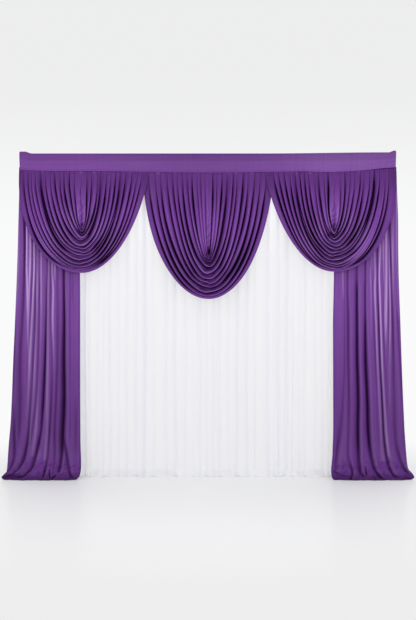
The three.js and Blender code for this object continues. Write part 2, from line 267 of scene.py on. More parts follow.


# knitted cloth: stitches as sine waves along the cloth's own lengths, long faint runs of noise
# down it, a paler colour for painted light, and a matt dark one mixed in for painted shade
def knitCloth(name, values):
    look = SimpleNamespace(**values)
    material = bpy.data.materials.new(name)
    start = emptyTree(material)
    lengths = start.node("ShaderNodeTexCoord", output="UV")
    across = start.node("ShaderNodeSeparateXYZ", {}, {0: lengths})
    down = across.also(1)
    thin, deep = [start.node("ShaderNodeAttribute", {"attribute_name": mark}, output="Fac")
                  for mark in ("thin", "deep")]
    patches = start.node("ShaderNodeTexNoise", {"noise_dimensions": "2D"},
                         {"Vector": lengths, "Scale": look.patchScale, "Detail": 3.0})
    drawnOut = start.node("ShaderNodeMapping", {}, {"Vector": lengths, "Scale": look.runScale})
    runs = start.node("ShaderNodeTexNoise", {"noise_dimensions": "2D"},
                      {"Vector": drawnOut, "Scale": 1.0, "Detail": 2.0})
    uneven = (patches - noiseMiddle) * look.patchShare + (runs - noiseMiddle) * look.runShare
    plain = (uneven + 0.5).blend(look.dark, look.light)
    # painted light: the pale colour is blended in by the painted light mark, stronger along the runs
    colour = (thin * (runs * look.thinRuns + look.thinBase)).blend(plain, look.thin)
    stitch = (across * (fullTurn / look.stitchWide)).sine()
    course = (down * (fullTurn / look.stitchHigh) + stitch * look.courseShift).sine()
    relief = stitch * look.stitchRelief + course * look.courseRelief
    relief = relief + (runs - noiseMiddle) * look.runRelief
    bump = start.node("ShaderNodeBump", {}, {
        "Strength": look.bump, "Distance": look.reliefHeight, "Height": relief})
    roughness = look.roughness + (patches - noiseMiddle) * look.unevenRoughness
    cloth = start.node("ShaderNodeBsdfPrincipled", {}, {
        "Base Color": colour, "Roughness": roughness, "Normal": bump,
        "Sheen Weight": look.sheen, "Sheen Roughness": look.sheenRoughness,
        "Sheen Tint": look.sheenTint, "Specular IOR Level": look.gloss})
    shadow = start.node("ShaderNodeBsdfPrincipled", {}, {
        "Base Color": look.deep, "Roughness": look.shadowRoughness, "Specular IOR Level": 0.0,
        "Normal": bump})
    if look.lightThrough:
        glow = start.node("ShaderNodeBsdfTranslucent", {}, {"Color": look.light})
        cloth = start.node("ShaderNodeMixShader", {}, {0: look.lightThrough, 1: cloth, 2: glow})
    # painted shade: the matt dark shader is mixed in by the painted shade mark
    cloth = start.node("ShaderNodeMixShader", {}, {0: deep * look.deepShare, 1: cloth, 2: shadow})
    start.node("ShaderNodeOutputMaterial", {}, {"Surface": cloth})
    return material


purpleKnit = knitCloth("purpleKnit", purpleLook)
swagKnit = knitCloth("swagKnit", swagLook)
bandKnit = knitCloth("bandKnit", bandLook)
whiteKnit = knitCloth("whiteKnit", whiteLook)
print("cloth materials made")


band = dict(
    halfWidth=1502, drop=116, radius=28.5, cloth=1.6, stepsAlong=320, stepsRound=34,
    stepsTail=6, stepsPanel=12, bunched=0.5, seamRise=26, seamCurve=4, seed=11,
    tail=20, tailFront=-13.5, tailBack=-8.5, flare=3.2, frontEnds=(5, 12),
    # the corners tugged up, and the rise of the top line to the right
    earLeft=15, earLeftEnds=(1405, 1465), earRight=14, earRightEnds=(1448, 1490),
    rightRise=9, rightRiseEnds=(0.3, 0.95),
    # how far the front edge hangs over the seam: all along, in the middle, at the left, at the right
    lower=3, lowerMiddle=8, middleEnds=(100, 800), loweredLeft=11, leftEnds=(900, 1450),
    loweredRight=8, rightStarts=(740, 980), rightEnds=(1050, 1350), raisedRight=8,
    raisedEnds=(1230, 1430),
    pucker=1.0, puckerPitch=19, puckerHeight=30, puckerBelow=10, edgeRipple=0.8,
    wander=((5, 37, 0), (9, 118, 1)), slack=1.0, slackPitch=120, slackEnds=(-40, -20, 5),
    dim=0.16, dimEnds=(58, 72), dimMiddle=0.15, middleAt=60, middleWide=620,
    paleRight=0.06, paleEnds=(400, 1000))


# height of the seam under the band: flat in the middle, rising with the fourth power to the ends
def seamHeight(x):
    return -band["drop"] + band["seamRise"] * (np.abs(x) / band["halfWidth"]) ** band["seamCurve"]


# the band's section is a circle round the pole with tangents down to a flat tail; it is carried
# along the width, lifted to the seam below and to the top line with its tugged corners above
def makeBand():
    form = SimpleNamespace(**band)
    radius = form.radius
    knee = -form.drop + form.tail

    # turn at which the straight from a point of the tail touches the circle
    def tangentTurn(y, z, side):
        return math.atan2(z, y) + side * math.acos(radius / math.hypot(y, z))

    backTurn = tangentTurn(form.tailBack, knee, 1)
    frontTurn = tangentTurn(form.tailFront, knee, -1) + 2 * math.pi
    turn = np.linspace(backTurn, frontTurn, form.stepsRound)
    tail = np.linspace(0, 1, form.stepsTail)
    panel = np.linspace(0, 1, form.stepsPanel)[1:-1]
    y = np.concatenate([
        mix(form.tailBack, form.tailBack, tail), mix(form.tailBack, radius * math.cos(backTurn), panel),
        radius * np.cos(turn), mix(radius * math.cos(frontTurn), form.tailFront, panel),
        mix(form.tailFront, form.tailFront - form.flare, tail)])[:, None]
    z = np.concatenate([
        mix(-form.drop, knee, tail), mix(knee, radius * math.sin(backTurn), panel),
        radius * np.sin(turn), mix(radius * math.sin(frontTurn), knee, panel),
        mix(knee, -form.drop, tail)])[:, None]
    even = np.linspace(-1, 1, form.stepsAlong + 1)
    x = form.halfWidth * mix(even, np.sin(even * np.pi / 2), form.bunched)[None, :]
    share = np.abs(x) / form.halfWidth
    rightward = ramp(x, *[end * form.halfWidth for end in form.rightRiseEnds])
    ear = form.earLeft * ramp(-x, *form.earLeftEnds) + form.earRight * ramp(x, *form.earRightEnds)
    topShift = ear + form.rightRise * rightward
    front = ramp(-y, *form.frontEnds)
    lowered = form.lower + form.lowerMiddle * fade(np.abs(x), *form.middleEnds)
    lowered = lowered - form.raisedRight * ramp(x, *form.raisedEnds)
    lowered = lowered + form.loweredRight * ramp(x, *form.rightStarts) * fade(x, *form.rightEnds)
    lowered = lowered + form.loweredLeft * ramp(-x, *form.leftEnds)
    seamShift = form.seamRise * share ** form.seamCurve - front * lowered
    lifted = z + mix(seamShift, topShift, ramp(z, knee, -radius))

    # puckers along the seam and slack waves over the front
    ripple = np.sin(wanderAlong(x, form.wander) * fullTurn / form.puckerPitch)
    nearSeam = fade(z, knee - form.puckerBelow, knee + form.puckerHeight)
    uneven = 0.6 + 0.4 * np.sin(x / 61 + 2)
    waves = crumple(np.random.default_rng(form.seed), x * 0.35, z * 2.0, form.slackPitch)
    slackLow, slackHigh, slackTop = form.slackEnds
    waves = waves * ramp(z, knee, slackLow) * fade(z, slackHigh, slackTop)
    y = y - front * (form.pucker * ripple * uneven * nearSeam + form.slack * waves)
    lifted = lifted + front * form.edgeRipple * ripple * fade(z, -form.drop, knee)
    # painted shade: darker over the upper part, where the pole inside the sleeve shades the cloth, and a
    # little darker round the middle; the band is also made paler towards its right end
    dim = form.dim * fade(radius - z, *form.dimEnds)
    dim = dim + form.dimMiddle * hump(x + form.middleAt, form.middleWide)
    pale = form.paleRight * ramp(x, *form.paleEnds)
    marks = {"deep": dim, "thin": pale}
    return makeSheet("headingBand", together(x, y, lifted), marks, bandKnit, form.cloth, -1)


swagForm = dict(
    stepsPerFold=12, bunched=0.6, stepsDown=98, cloth=1.4, front=-11.0,
    tuck=6,  # the top edge is tucked up between the two layers of the band's tail
    # roundness of the curves near the point
    tipFolds=(1, 1.9), pointFolds=(2, 6), pointRound=2.5, evenEnds=(0.7, 1),
    # how the folds open below the seam, lean forward, and lap over or under the next swag
    gatherLength=170, seamGather=0.25, seamOpening=(8, 40), standOff=14, lean=62,
    leanCurve=1.5, stacked=0.7, tuckedUnder=16, underEnds=(0.6, 1), underShare=(0.4, 1),
    lapAtSeam=1.8, lapBelow=10, lapOpening=60, lapEnd=420, overShare=(0.6, 0.76),
    pressed=0.1, pressedShare=(0.7, 0.86),
    # the section of a fold, and how its strength changes on the way down
    crest=0.66, lowCrest=0.80, lowCrestEnds=(0.45, 0.85), crestWidth=0.13, rise=2.0,
    roll=0.3, sideSlump=0.3, hemStart=0.3, hemCurl=0.2, curlEnds=(0.6, 1),
    atSeam=0.34, seamLength=0.28, startSpread=(0.6, 1.6), powerSwing=0.25,
    swingSpread=(0.6, 1.8), bottomEnds=(0.7, 0.98), ridgeSwing=0.12,
    sway=3.5, fullSway=40, middleGap=100, fullRoom=30, leastRoom=0.1,
    jog=9, jogPitch=26, jogWide=18, jogEnds=(0.6, 0.9), jogFolds=(1.5, 3),
    # ruffles under the seam, pinched middle, knot and hole at the point, crumples at the bottom
    seamRuffle=2.0, rufflePitch=17, ruffleLength=60, ruffleEnds=(2, 20), ruffleShade=0.35,
    pinch=3.0, pinchPitch=52, pinchWide=22, pinchEnds=(0.3, 0.8), pinchFolds=(0.8, 3),
    pinchShade=0.4, knot=10, knotTall=0.8, knotDip=0.8, dipAt=1.5, ringAt=1.35,
    ringWide=0.4, knotFolds=(2.5, 4), knotShade=0.85, holeDepth=8,
    bottomCrumple=2.0, crumplePitch=42, crumpleEnds=(0.72, 0.95), crumpleFolds=(0.5, 2),
    # painted shade as dark lines along the valleys
    lineWidth=9.5, lineAtSeam=0.4, lineOpening=(20, 300), lineLow=1.3, lowEnds=(0.35, 0.7),
    lineAtBottom=0.35, fullLine=38, leastLine=0.3, lineDark=1.6, weakLine=0.5,
    strongLine=1.5, outerLine=0.8, narrowFold=(11, 24), narrowPale=0.08, narrowFrom=(2, 3),
    # painted shade of the faces, the seam, the hem and the bottom, and painted highlights as pale ticks at
    # the seam
    faceDark=0.73, faceFade=1.2, hemShade=0.25, bottomUneven=0.15, bottomPitch=30,
    shadeEnds=(0.6, 0.95), seamShade=0.40, seamShadeEnds=(0.06, 0.44), wrinkleWide=4,
    wrinkleOpening=(60, 180), seamTick=0.26, tickPitch=48, tickAt=14, tickTall=9,
    palerEnds=(0.3, 0.6))
outerSide = dict(tipRound=2.0, innerRound=1.75, hemRound=2.45, lap="free")
lappingSide = dict(tipRound=2.0, innerRound=2.0, hemRound=1.34, lap="over")
centerLeftSide = dict(tipRound=-0.2, innerRound=1.62, hemRound=1.82, lap="under")
centerRightSide = dict(tipRound=-0.2, innerRound=1.62, hemRound=1.71, lap="under")
# valleys from the middle out to the hem: reach each way at the seam, drop in the middle, height of
# the ridges beside it, and how strong the valley is on the left, on the right and at the bottom;
# the last row is the hem edge
foldColumns = "left right drop ridge leftPower rightPower bottom"
# the hole at a point: place across and below the seam, half width, half height, how dark its painted shade
# is, which also sets how deep it sinks
leftSwag = dict(
    name="swagLeft", center=-1014, drift=16, sides=(outerSide, lappingSide), seed=5,
    knotDrop=470, knotSize=17, tipPoint=0.7, hole=(2, 505, 8, 9, 0.6), middleLine=0.85,
    paler=(0.24, 0.18), bottomShade=0.70, faceLow=0.72,
    folds=[
        (0, 0, 452, 24, 0, 0, 0), (48, 46, 469, 28, 0.8, 0.7, 0.4), (90, 85, 496, 28, 0.8, 0.8, 0.3),
        (133, 134, 514, 28, 1, 1, 1), (165, 153, 546, 26, 0.7, 0.9, 0.1),
        (208, 158, 558, 28, 0.9, 1, 0.7), (240, 205, 608, 32, 0.9, 1, 0.7),
        (284, 241, 631, 32, 0.8, 0.6, 0.6), (318, 277, 660, 30, 0.8, 1, 0.6),
        (325, 313, 682, 30, 1, 0.9, 0.2), (362, 319, 718, 32, 0.7, 1, 0.8),
        (392, 359, 750, 32, 0.8, 0.9, 0.7), (422, 411, 776, 26, 0.9, 0.9, 0.6),
        (437, 452, 786, 26, 0.1, 0.9, 0.5), (453, 490, 798, 24, 0.95, 0.8, 0.2),
        (493, 549, 820, 20, 0, 0, 0)])
centerSwag = dict(
    name="swagCenter", center=5, drift=2, sides=(centerLeftSide, centerRightSide), seed=8,
    knotDrop=690, knotSize=15, tipPoint=0.55, hole=(2, 640, 14, 32, 0.95),
    middleLine=0.25, paler=(0.13, 0.06), bottomShade=0.74, faceLow=0.80,
    folds=[
        (0, 0, 655, 26, 0, 0, 0.3), (25, 33, 667, 24, 0.5, 0.9, 1), (60, 67, 690, 26, 0.5, 0.4, 0.9),
        (88, 108, 702, 26, 0.4, 0.9, 0.5), (129, 148, 718, 28, 0.9, 0.9, 0.3),
        (168, 154, 727, 30, 0.6, 1, 0.9), (207, 198, 769, 32, 1, 0.9, 0.9),
        (248, 229, 824, 32, 0.9, 0.9, 0.5), (284, 278, 866, 32, 0.9, 1, 0.5),
        (330, 318, 899, 34, 0.9, 0.9, 0.4), (382, 370, 928, 34, 0.9, 1, 0.7),
        (424, 414, 971, 32, 0.9, 1, 0.7), (477, 463, 1002, 28, 0.9, 0.9, 0.5),
        (525, 517, 1021, 24, 0, 0, 0)])
rightSwag = dict(
    name="swagRight", center=1010, drift=-8, sides=(lappingSide, outerSide), seed=13,
    knotDrop=490, knotSize=22, tipPoint=0.62, hole=(-46, 520, 10, 12, 0.9),
    middleLine=0.6, paler=(0.28, 0.24), bottomShade=0.74, faceLow=0.70,
    folds=[
        (0, 0, 450, 26, 0, 0, 0), (48, 47, 466, 28, 1, 0.5, 0.5), (83, 84, 514, 28, 0.4, 1, 0.8),
        (122, 126, 530, 28, 0.9, 0.8, 0.2), (126, 162, 552, 28, 0.9, 0.9, 0.8),
        (157, 208, 578, 28, 0.8, 0.8, 0.2), (204, 234, 608, 32, 0.9, 1, 0.8),
        (236, 282, 634, 32, 0.9, 1, 0.7), (274, 315, 664, 30, 1, 0.9, 0.7),
        (310, 321, 687, 30, 0.9, 1, 0.7), (316, 362, 721, 32, 1, 1, 0.7),
        (356, 380, 753, 32, 0.9, 0.1, 0.6), (400, 392, 769, 28, 0.9, 0.1, 0.7),
        (444, 404, 790, 26, 0.8, 0.9, 0.5), (486, 429, 796, 24, 0.9, 0.95, 0.2),
        (556, 497, 810, 20, 0, 0, 0)])


# each fold of a swag hangs from the seam to the middle along the curve
# (sideways / reach)^2 + (down / drop)^roundness = 1; out from a valley the cloth rises
# as 1 - (1 - w/crest)^2 to a crest past half way, and from the crest it drops along an arc
def makeSwag(values):
    form = SimpleNamespace(**swagForm)
    swag = SimpleNamespace(**values)
    fold = SimpleNamespace(**readTable(foldColumns, swag.folds))
    count = len(fold.drop) - 1
    even = np.linspace(-count, count, 2 * count * form.stepsPerFold + 1)
    down = np.linspace(0, 1, form.stepsDown + 1)
    v = down[:, None]
    side = (even > 0).astype(int)
    way = np.sign(even)[None, :]
    nearest = np.clip(np.floor(np.abs(even)).astype(int), 0, count - 1)
    within = bunch((np.abs(even) - nearest)[None, :], form.bunched)
    place = nearest + within
    share = place / count
    chance = np.random.default_rng(swag.seed)

    # a wave for each fold and side, the same on both sides in the middle and at the bottom
    def foldWaves():
        waves = waver(chance, (2, count + 1), down)
        waves[:, 1, 0] = waves[:, 0, 0]
        return mix(waves, waves[:, :1], ramp(v, *form.evenEnds)[:, :, None])

    # a value at each valley of both sides, read between the valleys
    def between(values):
        return mix(values[..., side, nearest], values[..., side, nearest + 1], within)

    # a value of the side on which each column lies
    def ofSide(name):
        return np.where(side, swag.sides[1][name], swag.sides[0][name])

    # distance from the swag's middle line, which drifts sideways on its way down
    def offMiddle(x):
        return x - swag.center - swag.drift * fall

    reaches = np.stack([fold.left, fold.right])
    reach = between(reaches)
    drop = linesThrough(fold.drop, place)
    deepest = fold.drop[-1]
    roundness = mix(ofSide("innerRound"), ofSide("hemRound"), share ** 2)
    roundness = roundness + ofSide("tipRound") * fade(place, *form.tipFolds)
    roundness = roundness + form.pointRound * (swag.tipPoint - 0.5) * fade(place, *form.pointFolds)
    fall = np.sin(v * np.pi / 2)
    pointed = mix(swag.tipPoint, 0.5, ramp(place, *form.pointFolds))
    sideways = clamp(1 - fall ** roundness) ** pointed
    x = swag.center + swag.drift * fall + way * reach * sideways
    z = mix(seamHeight(swag.center + way * reach), seamHeight(swag.center) - drop, fall)
    below = fall * drop

    opened = ramp(below, 0, form.gatherLength)
    ridgeWave = 1 + form.ridgeSwing * between(foldWaves())
    gathered = form.seamGather * ramp(below, *form.seamOpening)
    depth = linesThrough(fold.ridge, place) * ridgeWave * mix(gathered, 1, opened)
    depth = depth * mix(1, form.stacked, v ** 2)
    forward = form.standOff * opened + form.lean * (below / deepest) ** form.leanCurve
    forward = forward - form.tuckedUnder * ramp(v, *form.underEnds) * ramp(share, *form.underShare)
    lapped = fade(below, form.lapEnd / 2, form.lapEnd)
    over, under = ofSide("lap") == "over", ofSide("lap") == "under"
    lift = mix(form.lapAtSeam, form.lapBelow, ramp(below, 0, form.lapOpening))
    forward = forward + over * lift * lapped * ramp(share, *form.overShare)
    depth = depth * mix(1, form.pressed, under * lapped * ramp(share, *form.pressedShare))

    powers = np.stack([fold.leftPower, fold.rightPower])
    atBottom = ramp(v, *form.bottomEnds)
    ownChance = np.random.default_rng(swag.seed + 100)
    started = ownChance.uniform(*form.startSpread, powers.shape)
    swingStart = ownChance.uniform(0, startEnd, powers.shape)
    swing = swingStart + fullTurn * v[:, :, None] * ownChance.uniform(*form.swingSpread, powers.shape)
    swing = 1 - form.powerSwing * (0.5 + 0.5 * np.sin(swing)) * (1 - atBottom[:, :, None])

    # strength of a valley at each point: faint at the seam, then its own down the side, and at the
    # bottom what is left of it there
    def strength(valley):
        fresh = ramp(below / deepest, 0, form.seamLength * started[side, valley])
        fresh = mix(form.atSeam / started[side, valley], 1, fresh)
        kept = mix(powers[side, valley], fold.bottom[valley], atBottom)
        return fresh * swing[:, side, valley] * kept

    # the section between the valley inside each point and the one outside it
    inner, outer = strength(nearest), strength(nearest + 1)
    beforeHem = place < count - 1
    hem = (place > count - 1) * ramp(within, 0, form.hemStart)
    crest = mix(form.crest, form.lowCrest, ramp(v, *form.lowCrestEnds))
    rise = clamp(1 - within / crest) ** form.rise
    past = clamp((within - crest) / (1 - crest))
    stand = 1 - inner * mix(rise, rise ** 2, hem) - outer * (1 - np.sqrt(1 - past ** 2)) * beforeHem
    stand = stand - form.hemCurl * hem * ramp(within, *form.curlEnds)

    gaps = np.diff(reaches, axis=1)
    gaps = np.minimum(np.insert(gaps, 0, form.middleGap, 1), np.append(gaps, gaps[:, -1:], 1))
    steady = clamp(gaps / form.fullSway)
    sway = form.sway * between(foldWaves() * steady) * np.sin(np.pi * v)
    x = x + sway * way * ramp(place, 0, 1) * sideways

    # width of each fold from valley to valley along a row of the grid; where it is narrow it stays low
    atValleys = slice(None, None, form.stepsPerFold)
    steps = np.hypot(np.diff(x[:, atValleys], axis=1), np.diff(z[:, atValleys], axis=1))
    ofFold = np.where(side, count + nearest, count - 1 - nearest)
    foldWide = steps[:, ofFold]
    padded = np.concatenate([steps[:, :1], steps, steps[:, -1:]], 1)
    valleyWide = np.minimum(padded[:, :-1], padded[:, 1:])
    room = mix(valleyWide[:, ofFold], valleyWide[:, ofFold + 1], np.where(side, within, 1 - within))
    depth = depth * np.clip(room / form.fullRoom, form.leastRoom, 1)
    y = form.front - forward - depth * stand

    # a jog where the two sides meet; then each fold slumps outwards over the next, most where that is down
    jog = ramp(offMiddle(x), -form.jogWide, form.jogWide) - 0.5
    jog = jog * np.sin(below / form.jogPitch + swag.seed) * ramp(v, *form.jogEnds)
    z = z + form.jog * jog * ramp(place, *form.jogFolds) * fade(place, count - 2.5, count - 1)
    dx, dz = np.gradient(x, axis=1) * way, np.gradient(z, axis=1) * way
    run = np.sqrt(dx ** 2 + dz ** 2) + 1e-6
    downwards = mix(form.sideSlump, 1, clamp(-dz / run))
    slump = form.roll * depth * outer * np.sin(np.pi * within ** 2) * downwards * (1 - hem)
    x = x + slump * dx / run
    z = z + slump * dz / run

    # ruffles under the seam, a pinched middle with a knot, and crumples at the bottom
    wander = wanderAlong(x, ((6, 41, swag.seed), (4, 17, 0)))
    ruffle = np.sin(wander * fullTurn / form.rufflePitch) * (0.6 + 0.4 * np.sin(x / 53))
    nearSeam = np.exp(-below / form.ruffleLength)
    y = y - form.seamRuffle * ruffle * nearSeam * ramp(below, *form.ruffleEnds)
    fromMiddle = offMiddle(x)
    pinch = np.sin(below * fullTurn / form.pinchPitch + 2 * np.sin(below / 31) + fromMiddle / 9)
    pinch = pinch * hump(fromMiddle, form.pinchWide)
    nearPoint = ramp(below, *[fold.drop[0] * end for end in form.pinchEnds])
    nearPoint = nearPoint * fade(place, *form.pinchFolds)
    y = y - form.pinch * pinch * nearPoint
    belowSeam = z - seamHeight(swag.center)
    belowKnot = belowSeam + swag.knotDrop
    fromKnot = np.hypot(fromMiddle, belowKnot * form.knotTall) / swag.knotSize
    curl = hump(fromKnot, 1) - form.knotDip * hump(fromKnot - form.dipAt, form.ringWide)
    y = y - form.knot * curl * fade(place, *form.knotFolds)
    holeAcross, holeBelow, holeWide, holeTall, holeDark = swag.hole
    fromHole = ((fromMiddle - holeAcross) / holeWide) ** 2 + ((belowSeam + holeBelow) / holeTall) ** 2
    y = y + form.holeDepth * holeDark * np.exp(-fromHole)
    low = ramp(v, *form.crumpleEnds) * fade(place, count - 2, count - 1) * ramp(place, *form.crumpleFolds)
    y = y - form.bottomCrumple * crumple(chance, fromMiddle, z * 0.8, form.crumplePitch) * low

    # painted shade: a narrow dark line along each valley
    lowDown = ramp(below / deepest, *form.lowEnds)
    lineWide = form.lineWidth * mix(form.lineAtSeam, 1, ramp(below, *form.lineOpening))
    lineWide = lineWide * mix(1, form.lineLow, lowDown) * mix(1, form.lineAtBottom, atBottom)
    lineWide = lineWide * np.clip(foldWide / form.fullLine, form.leastLine, 1)
    innerWide, outerWide = [lineWide * mix(form.weakLine, form.strongLine, power ** 2)
                            for power in (inner, outer)]
    innerLine = inner * hump(foldWide * within, innerWide)
    outerLine = outer * hump(foldWide * (1 - within) / outerWide, form.outerLine) * beforeHem
    narrow = np.minimum(inner, outer) * fade(foldWide, *form.narrowFold) * ramp(place, *form.narrowFrom)
    narrow = narrow * beforeHem * (1 - atBottom)
    line = clamp(form.lineDark * np.maximum(np.maximum(innerLine, outerLine), narrow))
    line = line * (1 - form.narrowPale * narrow)

    # painted shade: faces a little darker inwards, dim cloth under the seam and at the bottom, a dark ring
    # below the knot, dark wrinkles in the middle, the hole and the ruffle hollows; painted highlights:
    # pale ticks at the seam and paler crests lower down
    face = mix(form.faceDark, swag.faceLow, lowDown) - form.faceFade * within
    face = inner * clamp(face) * (1 - hem)
    ring = form.knotShade * hump(fromKnot - form.ringAt, form.ringWide) * ramp(-belowKnot, -6, 6)
    wobble = 4 * np.sin(below / 45) + 1.5 * np.sin(below / 17 + 1)
    wrinkles = swag.middleLine * hump(fromMiddle - wobble, form.wrinkleWide)
    wrinkles = wrinkles * (0.8 + 0.2 * np.sin(below / 15 + 2))
    wrinkles = wrinkles * ramp(below, *form.wrinkleOpening) * fade(belowKnot, 10, -20)
    wrinkles = np.maximum(wrinkles, form.pinchShade * clamp(-pinch) * nearPoint)
    hole = holeDark * np.exp(-fromHole ** 1.5)
    underSeam = form.seamShade * fade(below / deepest, *form.seamShadeEnds)
    onCrest = hump(within - crest, form.crestWidth)
    bottom = swag.bottomShade * ramp(v, *form.shadeEnds) * (1 - hem) * (1 - onCrest)
    uneven = crumple(chance, fromMiddle * 0.4, z * 1.6, form.bottomPitch)
    bottom = bottom * (1 + form.bottomUneven * uneven)
    gathers = form.ruffleShade * clamp(-ruffle) * nearSeam
    deep = layered(line, face, underSeam, bottom, form.hemShade * hem)
    deep = layered(deep, ring, wrinkles, hole, gathers)
    # painted highlights: pale ticks on the puckers under the seam and paler crests lower down
    spots = clamp(crumple(ownChance, x, 0 * z, form.tickPitch) - 0.5)
    tickHighlight = form.seamTick * spots * hump(below - form.tickAt, form.tickTall)
    paler = mix(*swag.paler, atBottom) * ramp(v, *form.palerEnds) * onCrest * (1 - hem)
    points = together(x, y, z + np.where(v == 0, form.tuck, 0))
    marks = {"deep": clamp(deep), "thin": tickHighlight + paler}
    return makeSheet(swag.name, points, marks, swagKnit, form.cloth, joined=True)


sideForm = dict(
    columns=200, rows=186, cloth=1.4, seamLift=8, topHeights=(2200, 2452), stand=25,
    wave=1.5, fine=0.5, fineHeights=(200, 600), edgeRoll=14, edgeWidth=8,
    darkest=19, shadePower=1.4, rimLight=0.08, rimAt=2, rimWide=1.3,
    rollShade=0.45, rollHeights=(26, 54), footShade=0.66, footHeights=(130, 300),
    floorHeights=(36, 84), crumple=1.6, crumplePitch=46, crumpleShade=0.3,
    pushFrom=-20, pushHeights=(60, 400), softLow=0.5, softHeights=(600, 1500),
    dimLow=0.35, dimHeights=(150, 1700),
    fall=[  # height above the floor, place to the back, share of the folds
        (2452, -5.7, 0.05), (2380, 5, 0.4), (2240, 16, 1), (1850, 16, 1), (1350, 12, 1), (900, 3, 1),
        (520, -12, 1), (270, -34, 1), (130, -64, 0.95), (66, -110, 0.8), (46, -130, 0.6), (30, -140, 0.5),
        (16, -142, 0.4), (5, -139, 0.2), (2, -90, 0)])
edgeNames = "height left right"
# the streaks are painted light shining through the thin cloth
lineNames = "height x width power"  # a crease or a thin streak, from the top down
